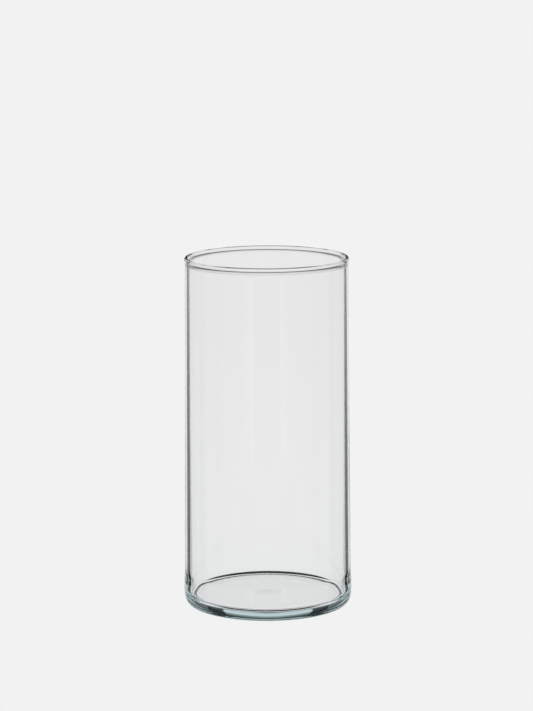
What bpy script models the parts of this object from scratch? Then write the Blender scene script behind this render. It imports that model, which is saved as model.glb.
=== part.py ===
"""A clear glass cylinder vase for cut flowers, one piece of machine-made soda-lime glass.

The vase is a single turned solid. Its outline starts in the middle of the inner floor and runs out
to a rounded corner, up the inner wall, over the fire-polished rim, down the outer wall, round the
thick heel, and back across the flat underside to a shallow mould mark in its middle.

Units are metres. The origin is the centre of the plane that the vase stands on, and +Z runs up
its axis.
"""
import math

import bpy

# Height and outside radii. The wall has a slight draft, so it is wider at the foot.
HEIGHT = 0.2000
WALL_TOP_RADIUS = 0.0461
WALL_FOOT_RADIUS = 0.0479
HEEL_RADIUS = 0.0482

# Fire-polished rim: a bead a little proud of the wall on both sides. It turns this many degrees back under
# itself, and the wall takes over at the neck.
RIM_BEAD_RADIUS = 0.00142
RIM_BEAD_PROUD_OUTSIDE = 0.00045
RIM_BEAD_PROUD_INSIDE = 0.00009
RIM_NECK_HEIGHT = 0.0051
BEAD_UNDERCUT = 40.0

# Wall thickness at the rim and at the foot.
WALL_TOP_THICKNESS = 0.0018
WALL_FOOT_THICKNESS = 0.0031
WALL_RINGS = 8

# Floor, and the corner where it rises into the wall. Fullness 2 is part of an ellipse, and more is squarer.
FLOOR_HEIGHT = 0.0046
FLOOR_CORNER_WIDTH = 0.0077
FLOOR_CORNER_HEIGHT = 0.0057
FLOOR_CORNER_FULLNESS = 3.6

# Heel: the outer wall swells a little, then rolls under to the flat underside.
SWELL_HEIGHT = 0.0200
SWELL_RINGS = 4
HEEL_ROLL_WIDTH = 0.0034
HEEL_ROLL_HEIGHT = 0.0085
HEEL_ROLL_FULLNESS = 2.4

# A very shallow round mould mark, dished into the middle of the underside.
MARK_RADIUS = 0.0110
MARK_DEPTH = 0.00004

# Fineness of the turned surface.
TURN_STEPS = 80
CORNER_STEPS = 6
BEAD_STEPS = 10
MARK_STEPS = 3

# Clear soda-lime glass with a faint green-blue cast.
GLASS_COLOUR = (0.93, 0.97, 0.96, 1.0)
GLASS_ROUGHNESS = 0.02
GLASS_REFRACTION = 1.52


def smooth_step(amount):
    """Ease from 0 to 1 with level ends."""
    amount = min(1.0, max(0.0, amount))
    return amount * amount * (3.0 - 2.0 * amount)


def between(foot_value, top_value, height):
    """A value that changes evenly from the foot of the wall to its top."""
    return foot_value + (top_value - foot_value) * height / HEIGHT


def outer_radius(height):
    """Outside radius of the wall: a straight draft, which swells out to the heel near the foot."""
    drafted = between(WALL_FOOT_RADIUS, WALL_TOP_RADIUS, height)
    swell = (SWELL_HEIGHT - height) / (SWELL_HEIGHT - HEEL_ROLL_HEIGHT)
    return drafted + (HEEL_RADIUS - drafted) * smooth_step(swell)


def inner_radius(height):
    """Inside radius of the wall, which thickens evenly towards the floor."""
    drafted = between(WALL_FOOT_RADIUS, WALL_TOP_RADIUS, height)
    return drafted - between(WALL_FOOT_THICKNESS, WALL_TOP_THICKNESS, height)


def arc(centre, radii, start, end, steps, fullness=2.0):
    """Points on part of an ellipse, with start and end in degrees. A fullness over 2 squares its corners."""
    points = []
    for step in range(steps + 1):
        angle = math.radians(start + (end - start) * step / steps)
        across = math.copysign(abs(math.cos(angle)) ** (2.0 / fullness), math.cos(angle))
        upward = math.copysign(abs(math.sin(angle)) ** (2.0 / fullness), math.sin(angle))
        points.append((centre[0] + radii[0] * across, centre[1] + radii[1] * upward))
    return points


def spread(low, high, steps):
    """Evenly spaced values strictly between low and high."""
    return [low + (high - low) * step / steps for step in range(1, steps)]


def floor_and_inner_wall():
    """From the middle of the floor, through its corner, to just under the rim."""
    corner_top = FLOOR_HEIGHT + FLOOR_CORNER_HEIGHT
    corner_centre = (inner_radius(corner_top) - FLOOR_CORNER_WIDTH, corner_top)
    corner_radii = (FLOOR_CORNER_WIDTH, FLOOR_CORNER_HEIGHT)
    neck = HEIGHT - RIM_NECK_HEIGHT
    points = [(0.0, FLOOR_HEIGHT), (corner_centre[0] / 2.0, FLOOR_HEIGHT)]
    points += arc(corner_centre, corner_radii, -90.0, 0.0, CORNER_STEPS, FLOOR_CORNER_FULLNESS)
    points += [(inner_radius(height), height) for height in spread(corner_top, neck, WALL_RINGS)]
    points.append((inner_radius(neck), neck))
    return points


def rim():
    """The bead, from its inner side over the top to its outer side."""
    bead_outer = outer_radius(HEIGHT) + RIM_BEAD_PROUD_OUTSIDE
    bead_inner = inner_radius(HEIGHT) - RIM_BEAD_PROUD_INSIDE
    centre = ((bead_outer + bead_inner) / 2.0, HEIGHT - RIM_BEAD_RADIUS)
    radii = ((bead_outer - bead_inner) / 2.0, RIM_BEAD_RADIUS)
    return arc(centre, radii, 180.0 + BEAD_UNDERCUT, -BEAD_UNDERCUT, BEAD_STEPS)


def outer_wall():
    """From just under the rim down to the top of the heel's roll."""
    neck = HEIGHT - RIM_NECK_HEIGHT
    heights = [neck] + spread(neck, SWELL_HEIGHT, WALL_RINGS) + [SWELL_HEIGHT]
    heights += spread(SWELL_HEIGHT, HEEL_ROLL_HEIGHT, SWELL_RINGS)
    return [(outer_radius(height), height) for height in heights]


def heel_and_underside():
    """Round the heel, and across the flat underside to the mark in its middle."""
    roll_centre = (HEEL_RADIUS - HEEL_ROLL_WIDTH, HEEL_ROLL_HEIGHT)
    roll_radii = (HEEL_ROLL_WIDTH, HEEL_ROLL_HEIGHT)
    points = arc(roll_centre, roll_radii, 0.0, -90.0, CORNER_STEPS, HEEL_ROLL_FULLNESS)
    for share in [0.0] + spread(0.0, 1.0, MARK_STEPS) + [1.0]:
        points.append((MARK_RADIUS * (1.0 - share), MARK_DEPTH * smooth_step(share)))
    return points


def glass_material():
    """Clear glass: smooth, fully transmitting, faintly tinted."""
    material = bpy.data.materials.new("clear_glass")
    material.use_nodes = True
    shader = material.node_tree.nodes["Principled BSDF"]
    shader.inputs["Base Color"].default_value = GLASS_COLOUR
    shader.inputs["Roughness"].default_value = GLASS_ROUGHNESS
    shader.inputs["Metallic"].default_value = 0.0
    shader.inputs["IOR"].default_value = GLASS_REFRACTION
    shader.inputs["Transmission Weight"].default_value = 1.0
    material.diffuse_color = GLASS_COLOUR
    return material


def turned_object(name, outline, material):
    """Turn an outline, drawn in the XZ plane from axis to axis, once round Z into a closed solid."""
    mesh = bpy.data.meshes.new(name)
    points = [(radius, 0.0, height) for radius, height in outline]
    mesh.from_pydata(points, [(index, index + 1) for index in range(len(points) - 1)], [])
    mesh.materials.append(material)
    turned = bpy.data.objects.new(name, mesh)
    bpy.context.scene.collection.objects.link(turned)
    screw = turned.modifiers.new("turn", "SCREW")
    screw.axis = "Z"
    screw.angle = math.radians(360.0)
    screw.screw_offset = 0.0
    screw.steps = TURN_STEPS
    screw.render_steps = TURN_STEPS
    screw.use_merge_vertices = True
    screw.merge_threshold = 0.00001
    screw.use_smooth_shade = True
    return turned


def clear_scene():
    """Remove the scene's objects."""
    for existing in list(bpy.data.objects):
        bpy.data.objects.remove(existing)


def main():
    clear_scene()
    outline = floor_and_inner_wall() + rim() + outer_wall() + heel_and_underside()
    turned_object("vase", outline, glass_material())


main()
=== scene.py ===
"""The looks of the glass cylinder vase: one finely turned piece of clear glass in a plain pale studio."""
import math
from collections import namedtuple

import bpy
from mathutils import Euler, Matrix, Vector, noise


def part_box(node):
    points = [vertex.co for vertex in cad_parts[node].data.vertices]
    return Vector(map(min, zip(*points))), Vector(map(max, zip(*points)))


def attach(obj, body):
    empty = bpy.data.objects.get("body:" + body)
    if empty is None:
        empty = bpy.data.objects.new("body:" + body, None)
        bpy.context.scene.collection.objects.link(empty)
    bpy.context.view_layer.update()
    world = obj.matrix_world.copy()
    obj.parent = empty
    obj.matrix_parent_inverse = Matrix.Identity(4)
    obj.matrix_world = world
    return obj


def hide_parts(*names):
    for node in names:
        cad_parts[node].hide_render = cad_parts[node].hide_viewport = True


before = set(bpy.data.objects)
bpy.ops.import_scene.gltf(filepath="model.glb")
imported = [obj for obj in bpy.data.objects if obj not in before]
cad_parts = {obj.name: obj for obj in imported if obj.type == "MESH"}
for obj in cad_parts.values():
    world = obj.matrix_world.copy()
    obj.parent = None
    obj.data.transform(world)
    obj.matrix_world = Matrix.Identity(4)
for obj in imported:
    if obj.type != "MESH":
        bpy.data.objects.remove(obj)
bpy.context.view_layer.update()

# ---------------------------------------------------------------- shape, with lengths in metres
vase_low, vase_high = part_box("vase")
HEIGHT = vase_high[2] - vase_low[2]
HEEL_RADIUS = (vase_high[0] - vase_low[0]) / 2.0

# The wall is set in from the heel, and more at the top, and it thickens towards the foot.
WALL_TOP_RADIUS = HEEL_RADIUS - 0.0021
WALL_FOOT_RADIUS = HEEL_RADIUS - 0.0003
WALL_TOP_THICKNESS = 0.0018
WALL_FOOT_THICKNESS = 0.0031

# The fire-polished rim turns this many degrees back under itself, and the wall takes over at the neck.
RIM_BEAD_RADIUS = 0.00142
RIM_BEAD_PROUD_OUTSIDE = 0.00045
RIM_BEAD_PROUD_INSIDE = 0.00009
RIM_NECK_HEIGHT = 0.0051
BEAD_UNDERCUT = 40.0

FLOOR_HEIGHT = 0.0046
FLOOR_CORNER_WIDTH = 0.0077
FLOOR_CORNER_HEIGHT = 0.0057
FLOOR_CORNER_FULLNESS = 3.6

SWELL_HEIGHT = 0.0200
HEEL_ROLL_WIDTH = 0.0034
HEEL_ROLL_HEIGHT = 0.0085
HEEL_ROLL_FULLNESS = 2.4

# A very shallow round mould mark, dished into the middle of the underside.
MARK_RADIUS = 0.0110
MARK_DEPTH = 0.00004

# Fineness of the turned surface.
TURN_STEPS = 256
WALL_RINGS = 60
ARC_STEPS = 24
BEAD_STEPS = 48
FLOOR_RINGS = 24
UNDERSIDE_RINGS = 96

# The slight unevenness of moulded glass: how deep, and how far apart round the wall and up it.
WAVE_DEPTH = 0.00003
WAVE_LENGTH = 0.030
WAVE_HEIGHT = 0.070

# How far along the noise the outside of the wall starts, so that it differs from the inside.
WAVE_OFFSET = 10.0

# ---------------------------------------------------------------- camera
CAMERA_DISTANCE = 1.546
CAMERA_HEIGHT = 0.4223
CAMERA_SIDE = 0.0009
LEVEL_VIEW = 90.0
CAMERA_PITCH = 10.23
CAMERA_ROLL = 0.24
CAMERA_LENS = 140.0
SENSOR_WIDTH = 36.0
CAMERA_CLIP = 50.0

# ---------------------------------------------------------------- glass
GLASS_TINT = (1.0, 0.995, 0.995, 1.0)
GLASS_IOR = 1.52
GLASS_GLINT = (0.4, 0.4, 0.4, 1.0)
ABSORPTION_COLOUR = (0.10, 0.50, 0.56, 1.0)
ABSORPTION_DENSITY = 6.0

# Smears in the polish: how fine the noise is, and the part of its range that takes the roughness from 0 up.
SMEAR_SCALE = 55.0
SMEAR_DETAIL = 3.0
SMEAR_LOW = 0.35
SMEAR_HIGH = 0.75
SMEAR_ROUGHNESS = 0.025

# The middle of the mould mark is duller than the rest.
MARK_ROUGHNESS = 0.14

# Ripples in the surface, as a bump.
RIPPLE_SCALE = 90.0
RIPPLE_DETAIL = 1.0
RIPPLE_STRENGTH = 0.2
RIPPLE_DEPTH = 0.00002

# ---------------------------------------------------------------- studio
SWEEP_BRIGHTNESS = 0.8879
SWEEP_RADIUS = 6.0
SWEEP_CORNER = 1.0
SWEEP_CEILING = 4.0
SWEEP_CORNER_STEPS = 12
SWEEP_TURN_STEPS = 64
BACKDROP_BRIGHTNESS = 0.825

# What the glass sees. Each entry is two angles in degrees, and a value up to the first and from the second.
# The value is a share of the backdrop's brightness, or how fully a card, a light or an open table is there.
# Slopes are from level, and bearings are from straight behind the vase.

# The backdrop is a little brighter low down, and falls off above level.
BACKDROP_FOOT = (-14.4, -9.0, 1.036, 1.0)
BACKDROP_TOP = (0.0, 12.0, 1.0, 0.76)

# The near table and room, for light that crossed little glass, and the far ones for all other light.
# Each table is dark over a band of slopes close to and behind the foot: this darkness is painted shade, not
# the table's colour.
NEAR_TABLE_SHADE = (-61.0, -42.0, 0.06, 1.0)
NEAR_ROOM = (2.0, 19.0, 1.0, 0.12)
FAR_TABLE_SHADE = (-37.3, -35.3, 0.02, 1.0)
FAR_ROOM = (31.9, 37.7, 1.0, 0.33)

# Slopes at which the far table is bright again, and where the table is bright for light that never bounced:
# steeply below, and away from straight behind.
UNDERFOOT = (-72.0, -66.0, 1.0, 0.0)
TABLE_UNDER = (-48.0, -43.0, 1.0, 0.0)
TABLE_SIDE = (35.0, 55.0, 0.0, 1.0)

# The dark cards: their edge as an angle from the middle of a sector, their slopes, and how dark they stay
# towards the front for light that bounced.
CARD_EDGE = (14.5, 16.5, 0.0, 1.0)
CARD_TOP = (-14.0, -8.5, 1.0, 0.9)
CARD_FOOT = (-34.0, -28.0, 0.0, 1.0)
CARD_FRONT = (48.0, 60.0, 1.0, 0.5)

# What the outside of the glass mirrors: the dim front, and the bright backdrop where light skims past.
FRONT_FOOT = (-14.0, -9.0, 0.15, 0.4)
FRONT_TOP = (-8.5, -7.0, 1.0, 0.1)
SKIM_EDGE = (20.0, 34.0, 1.0, 0.0)
SKIM_TOP = (-8.5, -7.0, 1.0, 0.0)

# The two tall lights in front. The second ramp also gives their brightness.
STREAK_OUTER = (140.0, 160.0, 0.0, 1.0)
STREAK_INNER = (160.0, 162.5, 1.8, 0.0)
STREAK_FOOT = (-12.5, -11.0, 0.0, 1.0)

# The cards stand on eight sides, and a little further out for light that bounced inside the wall.
CARD_SECTOR = math.radians(45.0)
CARD_SHIFT = 2.5
MIRRORED_CARD_SHIFT = 7.0

# Light that crossed the glass this often, or bounced in it this often, is far from its first piece of glass.
MANY_PASSES = 2.5
MANY_BOUNCES = 2.5

# Passes and bounces are whole numbers, so this parts none from some.
NONE_OR_SOME = 0.5

# The Mix node's numbers, which have the same names as its colours and so go by their places.
MIX_SHARE = 0
MIX_OTHERWISE = 2
MIX_CHOSEN = 3
MIX_RESULT = 0

# How often light may pass through the glass and bounce off it before it is dropped.
MOST_PASSES = 32
MOST_BOUNCES = 16

# What the studio's light can tell about a ray that reaches it. Rise is the sine of its slope. Bearing is the
# angle from straight behind the vase. Corner is the angle from straight behind or straight in front, the
# nearer of the two. The others are 1 where they hold and 0 where they don't.
Ray = namedtuple("Ray", "rise bearing corner unpassed few_passes short mirrored unmirrored")


def smooth_step(amount):
    """Ease from 0 to 1 with level ends."""
    amount = min(1.0, max(0.0, amount))
    return amount * amount * (3.0 - 2.0 * amount)


def between(foot_value, top_value, height):
    """A value that changes evenly from the foot of the wall to its top."""
    return foot_value + (top_value - foot_value) * height / HEIGHT


def outer_radius(height):
    """Outside radius of the wall, which swells out to the heel near the foot."""
    drafted = between(WALL_FOOT_RADIUS, WALL_TOP_RADIUS, height)
    swell = (SWELL_HEIGHT - height) / (SWELL_HEIGHT - HEEL_ROLL_HEIGHT)
    return drafted + (HEEL_RADIUS - drafted) * smooth_step(swell)


def inner_radius(height):
    """Inside radius of the wall, which thickens evenly towards the floor."""
    drafted = between(WALL_FOOT_RADIUS, WALL_TOP_RADIUS, height)
    return drafted - between(WALL_FOOT_THICKNESS, WALL_TOP_THICKNESS, height)


def arc(centre, radii, start, end, steps, fullness=2.0):
    """Points on part of an ellipse, with start and end in degrees. A fullness over 2 squares its corners."""
    points = []
    for step in range(steps + 1):
        angle = math.radians(start + (end - start) * step / steps)
        across = math.copysign(abs(math.cos(angle)) ** (2.0 / fullness), math.cos(angle))
        upward = math.copysign(abs(math.sin(angle)) ** (2.0 / fullness), math.sin(angle))
        points.append((centre[0] + radii[0] * across, centre[1] + radii[1] * upward))
    return points


def spread(low, high, steps):
    """Evenly spaced values strictly between low and high."""
    return [low + (high - low) * step / steps for step in range(1, steps)]


def floor_and_inner_wall():
    """From the middle of the floor, through its corner, to just under the rim."""
    corner_top = FLOOR_HEIGHT + FLOOR_CORNER_HEIGHT
    corner_centre = (inner_radius(corner_top) - FLOOR_CORNER_WIDTH, corner_top)
    corner_radii = (FLOOR_CORNER_WIDTH, FLOOR_CORNER_HEIGHT)
    neck = HEIGHT - RIM_NECK_HEIGHT
    points = [(radius, FLOOR_HEIGHT) for radius in [0.0] + spread(0.0, corner_centre[0], FLOOR_RINGS)]
    points += arc(corner_centre, corner_radii, -90.0, 0.0, ARC_STEPS, FLOOR_CORNER_FULLNESS)
    points += [(inner_radius(height), height) for height in spread(corner_top, neck, WALL_RINGS)]
    points.append((inner_radius(neck), neck))
    return points


def rim():
    """The bead, from its inner side over the top to its outer side."""
    bead_outer = outer_radius(HEIGHT) + RIM_BEAD_PROUD_OUTSIDE
    bead_inner = inner_radius(HEIGHT) - RIM_BEAD_PROUD_INSIDE
    centre = ((bead_outer + bead_inner) / 2.0, HEIGHT - RIM_BEAD_RADIUS)
    radii = ((bead_outer - bead_inner) / 2.0, RIM_BEAD_RADIUS)
    return arc(centre, radii, 180.0 + BEAD_UNDERCUT, -BEAD_UNDERCUT, BEAD_STEPS)


def outer_wall():
    """From just under the rim down to the top of the heel's roll."""
    neck = HEIGHT - RIM_NECK_HEIGHT
    heights = [neck] + spread(neck, SWELL_HEIGHT, WALL_RINGS) + [SWELL_HEIGHT]
    heights += spread(SWELL_HEIGHT, HEEL_ROLL_HEIGHT, ARC_STEPS)
    return [(outer_radius(height), height) for height in heights]


def heel_and_underside():
    """Round the heel, and across the flat underside to the mark in its middle."""
    roll_edge = HEEL_RADIUS - HEEL_ROLL_WIDTH
    roll_radii = (HEEL_ROLL_WIDTH, HEEL_ROLL_HEIGHT)
    points = arc((roll_edge, HEEL_ROLL_HEIGHT), roll_radii, 0.0, -90.0, ARC_STEPS, HEEL_ROLL_FULLNESS)
    for radius in spread(roll_edge, 0.0, UNDERSIDE_RINGS) + [0.0]:
        points.append((radius, MARK_DEPTH * smooth_step(1.0 - radius / MARK_RADIUS)))
    return points


def turned_mesh(name, outline, steps):
    """A mesh closed at both ends: the outline, which starts and ends on the axis, turned once round Z."""
    rings = outline[1:-1]
    verts = [(0.0, 0.0, outline[0][1]), (0.0, 0.0, outline[-1][1])]
    first = len(verts)
    for radius, height in rings:
        for step in range(steps):
            angle = 2.0 * math.pi * step / steps
            verts.append((radius * math.cos(angle), radius * math.sin(angle), height))
    faces = []
    last = first + (len(rings) - 1) * steps
    for step in range(steps):
        following = (step + 1) % steps
        faces.append((0, first + step, first + following))
        faces.append((1, last + following, last + step))
        for ring in range(len(rings) - 1):
            here = first + ring * steps
            beyond = here + steps
            faces.append((here + step, beyond + step, beyond + following, here + following))
    mesh = bpy.data.meshes.new(name)
    mesh.from_pydata(verts, [], faces)
    mesh.shade_smooth()
    return mesh


def add_waves(mesh):
    """Press very shallow waves into the wall, different inside and outside.

    They fade out at the rim and the heel.
    """
    for vertex in mesh.vertices:
        point = vertex.co
        radius = math.hypot(point.x, point.y)
        from_foot = smooth_step((point.z - HEEL_ROLL_HEIGHT) / SWELL_HEIGHT)
        from_rim = smooth_step((HEIGHT - point.z) / (2.0 * RIM_NECK_HEIGHT))
        if from_foot * from_rim == 0.0:
            continue
        outside = radius > (inner_radius(point.z) + outer_radius(point.z)) / 2.0
        upward = point.z / WAVE_HEIGHT + WAVE_OFFSET * outside
        place = Vector((point.x / WAVE_LENGTH, point.y / WAVE_LENGTH, upward))
        push = WAVE_DEPTH * from_foot * from_rim * noise.noise(place) / radius
        point.x *= 1.0 + push
        point.y *= 1.0 + push


def add_object(name, data):
    """A new object in the scene."""
    made = bpy.data.objects.new(name, data)
    bpy.context.scene.collection.objects.link(made)
    return made


def node_tree_of(owner):
    """The nodes and links of a material or world, with nodes switched on."""
    owner.use_nodes = True
    return owner.node_tree.nodes, owner.node_tree.links


def set_inputs(links, node, values):
    """Give a node's inputs plain values or outputs to read, by name or index."""
    for key, value in values.items():
        if isinstance(value, bpy.types.NodeSocket):
            links.new(value, node.inputs[key])
        else:
            node.inputs[key].default_value = value


def math_node(tree, operation, *values):
    """One sum: the output of a Math node on numbers or outputs."""
    nodes, links = tree
    node = nodes.new("ShaderNodeMath")
    node.operation = operation
    set_inputs(links, node, dict(enumerate(values)))
    return node.outputs["Value"]


def ramp_node(tree, value, low, high, low_value, high_value):
    """A smooth ramp: low_value where value is under low, high_value where it is over high."""
    nodes, links = tree
    node = nodes.new("ShaderNodeMapRange")
    node.interpolation_type = "SMOOTHSTEP"
    set_inputs(links, node, {
        "Value": value, "From Min": low, "From Max": high, "To Min": low_value, "To Max": high_value,
    })
    return node.outputs["Result"]


def choose_node(tree, share, otherwise, chosen):
    """Otherwise where share is 0, chosen where it is 1, and a blend between."""
    nodes, links = tree
    node = nodes.new("ShaderNodeMix")
    set_inputs(links, node, {MIX_SHARE: share, MIX_OTHERWISE: otherwise, MIX_CHOSEN: chosen})
    return node.outputs[MIX_RESULT]


def glass_polish(tree, position):
    """How rough the glass is: faint smears all over, and a duller mould mark under the middle of the base."""
    nodes, links = tree
    smears = nodes.new("ShaderNodeTexNoise")
    set_inputs(links, smears, {"Vector": position, "Scale": SMEAR_SCALE, "Detail": SMEAR_DETAIL})
    smeared = ramp_node(tree, smears.outputs["Fac"], SMEAR_LOW, SMEAR_HIGH, 0.0, SMEAR_ROUGHNESS)
    place = nodes.new("ShaderNodeSeparateXYZ")
    links.new(position, place.inputs["Vector"])
    across = math_node(tree, "POWER", place.outputs["X"], 2.0)
    along = math_node(tree, "POWER", place.outputs["Y"], 2.0)
    off_axis = math_node(tree, "SQRT", math_node(tree, "ADD", across, along))
    inside_mark = ramp_node(tree, off_axis, MARK_RADIUS / 2.0, MARK_RADIUS, MARK_ROUGHNESS, 0.0)
    at_foot = ramp_node(tree, place.outputs["Z"], MARK_DEPTH, FLOOR_HEIGHT / 2.0, 1.0, 0.0)
    return math_node(tree, "MAXIMUM", smeared, math_node(tree, "MULTIPLY", inside_mark, at_foot))


def glass_ripples(tree, position):
    """Very shallow ripples in the surface, as a bump."""
    nodes, links = tree
    ripples = nodes.new("ShaderNodeTexNoise")
    set_inputs(links, ripples, {"Vector": position, "Scale": RIPPLE_SCALE, "Detail": RIPPLE_DETAIL})
    relief = nodes.new("ShaderNodeBump")
    set_inputs(links, relief, {
        "Height": ripples.outputs["Fac"], "Strength": RIPPLE_STRENGTH, "Distance": RIPPLE_DEPTH,
    })
    return relief.outputs["Normal"]


def glass_material():
    """Clear soda-lime glass: faint unevenness in polish and surface, and a blue-green cast by depth."""
    material = bpy.data.materials.new("clear_glass")
    tree = node_tree_of(material)
    nodes, links = tree
    position = nodes.new("ShaderNodeTexCoord").outputs["Object"]
    set_inputs(links, nodes["Principled BSDF"], {
        "Base Color": GLASS_TINT, "Roughness": glass_polish(tree, position), "IOR": GLASS_IOR,
        "Normal": glass_ripples(tree, position), "Transmission Weight": 1.0, "Specular Tint": GLASS_GLINT,
    })
    depth = nodes.new("ShaderNodeVolumeAbsorption")
    set_inputs(links, depth, {"Color": ABSORPTION_COLOUR, "Density": ABSORPTION_DENSITY})
    links.new(depth.outputs["Volume"], nodes["Material Output"].inputs["Volume"])
    return material


def sweep_material():
    """The plain pale backdrop and floor, which the camera sees evenly lit."""
    material = bpy.data.materials.new("sweep_white")
    nodes, links = node_tree_of(material)
    nodes.remove(nodes["Principled BSDF"])
    glow = nodes.new("ShaderNodeEmission")
    set_inputs(links, glow, {"Color": (1.0, 1.0, 1.0, 1.0), "Strength": SWEEP_BRIGHTNESS})
    links.new(glow.outputs["Emission"], nodes["Material Output"].inputs["Surface"])
    return material


def studio_sweep():
    """A pale room round the vase: floor, curved corner, wall and ceiling."""
    outline = [(0.0, 0.0), (SWEEP_RADIUS, 0.0)]
    outline += arc((SWEEP_RADIUS, SWEEP_CORNER), (SWEEP_CORNER, SWEEP_CORNER), -90.0, 0.0, SWEEP_CORNER_STEPS)
    outline += [(SWEEP_RADIUS + SWEEP_CORNER, SWEEP_CEILING), (0.0, SWEEP_CEILING)]
    sweep = add_object("studio_sweep", turned_mesh("studio_sweep", outline, SWEEP_TURN_STEPS))
    sweep.data.materials.append(sweep_material())
    sweep.visible_transmission = False
    sweep.visible_glossy = False
    sweep.visible_diffuse = False
    sweep.visible_shadow = False


def slope_ramp(tree, rise, ramp):
    """A ramp over how far a direction climbs, from two angles above level and a value at each."""
    low, high, low_value, high_value = ramp
    low_rise = math.sin(math.radians(low))
    high_rise = math.sin(math.radians(high))
    return ramp_node(tree, rise, low_rise, high_rise, low_value, high_value)


def angle_ramp(tree, angle, ramp):
    """A ramp over an angle in radians, from two angles in degrees and a value at each."""
    low, high, low_value, high_value = ramp
    return ramp_node(tree, angle, math.radians(low), math.radians(high), low_value, high_value)


def read_ray(tree):
    """Where a ray points, and how often it crossed the glass and bounced in it."""
    nodes, links = tree
    coordinates = nodes.new("ShaderNodeTexCoord")
    parts = nodes.new("ShaderNodeSeparateXYZ")
    links.new(coordinates.outputs["Generated"], parts.inputs["Vector"])
    sideways = math_node(tree, "ABSOLUTE", parts.outputs["X"])
    lengthways = math_node(tree, "ABSOLUTE", parts.outputs["Y"])
    path = nodes.new("ShaderNodeLightPath")
    passed = path.outputs["Transmission Depth"]
    bounced = path.outputs["Glossy Depth"]
    few_passes = math_node(tree, "LESS_THAN", passed, MANY_PASSES)
    few_bounces = math_node(tree, "LESS_THAN", bounced, MANY_BOUNCES)
    mirrored = math_node(tree, "GREATER_THAN", bounced, NONE_OR_SOME)
    return Ray(
        rise=parts.outputs["Z"],
        bearing=math_node(tree, "ARCTAN2", sideways, parts.outputs["Y"]),
        corner=math_node(tree, "ARCTAN2", sideways, lengthways),
        unpassed=math_node(tree, "LESS_THAN", passed, NONE_OR_SOME),
        few_passes=few_passes,
        short=math_node(tree, "MULTIPLY", few_passes, few_bounces),
        mirrored=mirrored,
        unmirrored=math_node(tree, "SUBTRACT", 1.0, mirrored),
    )


def table_and_room(tree, ray):
    """How bright it is below and above the backdrop, by slope, with painted shade on the table near and
    behind the foot.
    """
    far_table_shade = slope_ramp(tree, ray.rise, FAR_TABLE_SHADE)
    far_table_shade = math_node(tree, "MAXIMUM", far_table_shade, slope_ramp(tree, ray.rise, UNDERFOOT))
    table = choose_node(tree, ray.short, far_table_shade, slope_ramp(tree, ray.rise, NEAR_TABLE_SHADE))
    open_below = slope_ramp(tree, ray.rise, TABLE_UNDER)
    open_table = math_node(tree, "MAXIMUM", open_below, angle_ramp(tree, ray.bearing, TABLE_SIDE))
    table = math_node(tree, "MAXIMUM", table, math_node(tree, "MULTIPLY", open_table, ray.unmirrored))
    far_room = slope_ramp(tree, ray.rise, FAR_ROOM)
    room = choose_node(tree, ray.short, far_room, slope_ramp(tree, ray.rise, NEAR_ROOM))
    return math_node(tree, "MULTIPLY", table, room)


def dark_cards(tree, ray):
    """How fully a ray meets one of the dark cards, which stand at the edges of eight equal sectors."""
    shift = choose_node(tree, ray.mirrored, math.radians(CARD_SHIFT), math.radians(MIRRORED_CARD_SHIFT))
    turned = math_node(tree, "SUBTRACT", ray.corner, shift)
    wrapped = math_node(tree, "WRAP", turned, CARD_SECTOR / 2.0, -CARD_SECTOR / 2.0)
    card = angle_ramp(tree, math_node(tree, "ABSOLUTE", wrapped), CARD_EDGE)
    card = math_node(tree, "MULTIPLY", card, slope_ramp(tree, ray.rise, CARD_TOP))
    card = math_node(tree, "MULTIPLY", card, slope_ramp(tree, ray.rise, CARD_FOOT))
    in_front = choose_node(tree, ray.mirrored, 1.0, angle_ramp(tree, ray.bearing, CARD_FRONT))
    card = math_node(tree, "MULTIPLY", card, in_front)
    return math_node(tree, "MULTIPLY", card, math_node(tree, "MAXIMUM", ray.short, ray.unmirrored))


def seen_through_glass(tree, ray, surroundings):
    """The brightness that light meets once it has been through glass."""
    uncovered = math_node(tree, "SUBTRACT", 1.0, dark_cards(tree, ray))
    through = math_node(tree, "MULTIPLY", surroundings, uncovered)
    shade = math_node(
        tree, "MULTIPLY", slope_ramp(tree, ray.rise, BACKDROP_FOOT), slope_ramp(tree, ray.rise, BACKDROP_TOP))
    return math_node(tree, "MULTIPLY", through, choose_node(tree, ray.few_passes, shade, 1.0))


def mirrored_outside(tree, ray, surroundings):
    """The brightness that the outside of the glass mirrors: dim in front, but for two tall soft lights."""
    skimmed = angle_ramp(tree, ray.bearing, SKIM_EDGE)
    skimmed = math_node(tree, "MULTIPLY", skimmed, slope_ramp(tree, ray.rise, SKIM_TOP))
    front = slope_ramp(tree, ray.rise, FRONT_FOOT)
    front = math_node(tree, "MULTIPLY", front, slope_ramp(tree, ray.rise, FRONT_TOP))
    streak = angle_ramp(tree, ray.bearing, STREAK_OUTER)
    streak = math_node(tree, "MULTIPLY", streak, slope_ramp(tree, ray.rise, STREAK_FOOT))
    streak = math_node(tree, "MULTIPLY", streak, angle_ramp(tree, ray.bearing, STREAK_INNER))
    outside = math_node(tree, "MULTIPLY", math_node(tree, "MAXIMUM", front, skimmed), surroundings)
    return math_node(tree, "ADD", outside, streak)


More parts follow.
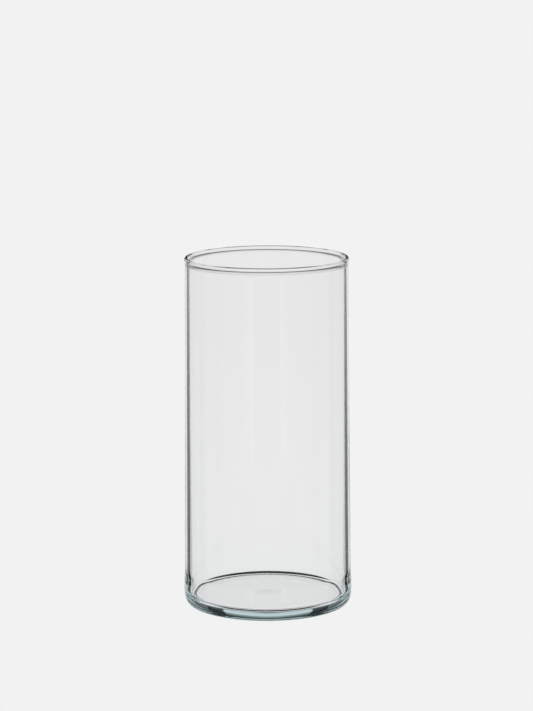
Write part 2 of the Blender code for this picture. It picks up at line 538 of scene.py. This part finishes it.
def studio_world():
    """The light round the vase, which only the glass sees.

    A pale backdrop fills the level directions, the room over it is dark, and the table under it is dark with
    painted shade. Light that crossed little glass sees a different table and room from light that crossed
    more.
    beside the backdrop on each of eight sides, so the thick edge of the wall draws a dark line from any of
    them. In front of the vase the room is dim, with two tall soft lights that leave faint wall streaks.

    The table behind the vase is dark with painted shade over a band of slopes, which draws the dark line at
    the back of the inner floor. It also makes most of the vase dark in a view from in front and about 40
    degrees above.
    """
    world = bpy.data.worlds.new("studio_light")
    bpy.context.scene.world = world
    tree = node_tree_of(world)
    nodes, links = tree
    nodes.clear()
    ray = read_ray(tree)
    surroundings = table_and_room(tree, ray)
    through = seen_through_glass(tree, ray, surroundings)
    outside = mirrored_outside(tree, ray, surroundings)
    glow = choose_node(tree, ray.unpassed, through, outside)
    strength = math_node(tree, "MULTIPLY", glow, BACKDROP_BRIGHTNESS)
    background = nodes.new("ShaderNodeBackground")
    set_inputs(links, background, {"Color": (1.0, 1.0, 1.0, 1.0), "Strength": strength})
    output = nodes.new("ShaderNodeOutputWorld")
    links.new(background.outputs["Background"], output.inputs["Surface"])


def photo_camera():
    """The camera: a long lens a little above the rim, tipped down to the middle of the vase."""
    data = bpy.data.cameras.new("photo_camera")
    data.lens = CAMERA_LENS
    data.sensor_width = SENSOR_WIDTH
    data.clip_end = CAMERA_CLIP
    camera = add_object("photo_camera", data)
    camera.location = (CAMERA_SIDE, -CAMERA_DISTANCE, CAMERA_HEIGHT)
    camera.rotation_euler = Euler((math.radians(LEVEL_VIEW - CAMERA_PITCH), math.radians(CAMERA_ROLL), 0.0))
    bpy.context.scene.camera = camera


def render_look():
    """Plain colours, and enough bounces for light that runs along inside the glass."""
    scene = bpy.context.scene
    scene.view_settings.view_transform = "Standard"
    scene.cycles.max_bounces = MOST_PASSES
    scene.cycles.transmission_bounces = MOST_PASSES
    scene.cycles.glossy_bounces = MOST_BOUNCES


photo_camera()
studio_world()
studio_sweep()
render_look()

outline = floor_and_inner_wall() + rim() + outer_wall() + heel_and_underside()
vase_mesh = turned_mesh("vase_glass", outline, TURN_STEPS)
add_waves(vase_mesh)
vase_mesh.materials.append(glass_material())
vase = add_object("vase_glass", vase_mesh)
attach(vase, "root")
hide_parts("vase")
